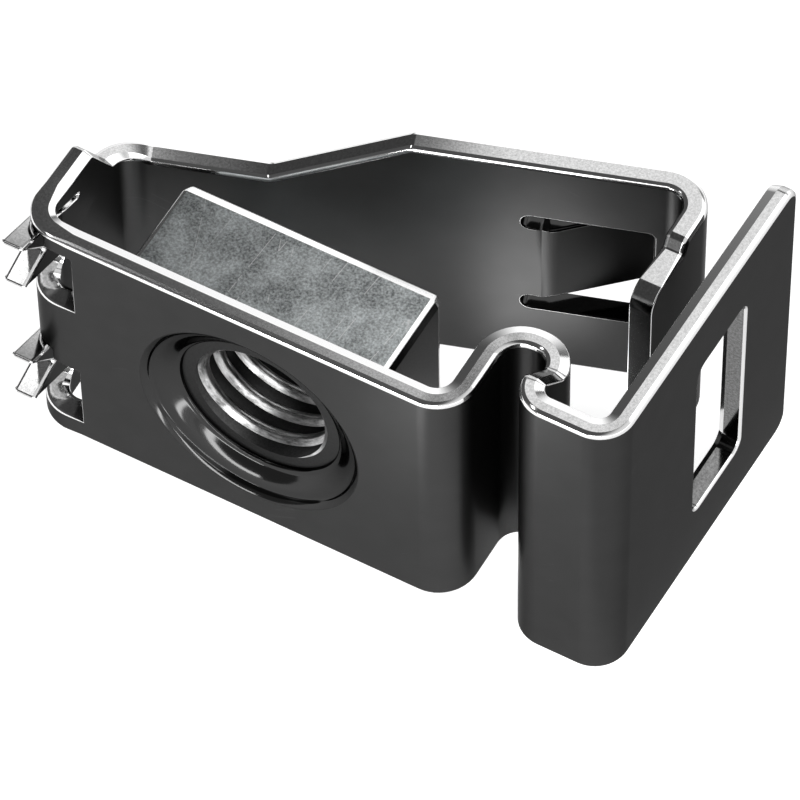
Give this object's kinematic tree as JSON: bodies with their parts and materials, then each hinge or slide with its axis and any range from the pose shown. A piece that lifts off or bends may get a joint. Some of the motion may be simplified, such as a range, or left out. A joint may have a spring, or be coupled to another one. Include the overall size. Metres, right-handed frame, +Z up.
{
  "type": "rack cage nut",
  "caption": "Square M6 nut held in a folded spring-steel cage with a dished screw hole, forked locking teeth, a lanced spring tab and a curled finger lever.",
  "frame": {"origin": "middle of the nut's thread, on the screw axis", "axes": "+Y along the screw axis from the dished hole into the cage, +X along the front wall towards the finger lever, +Z up across the strip"},
  "size_m": [0.0239, 0.0157, 0.0144],
  "materials": {
    "cage": "dark oiled spring steel with bright sheared edges",
    "nut": "dull zinc plate, lightly scratched"
  },
  "bodies": {
    "root": {"cage": "cage", "nut": "nut"}
  },
  "joints": []
}
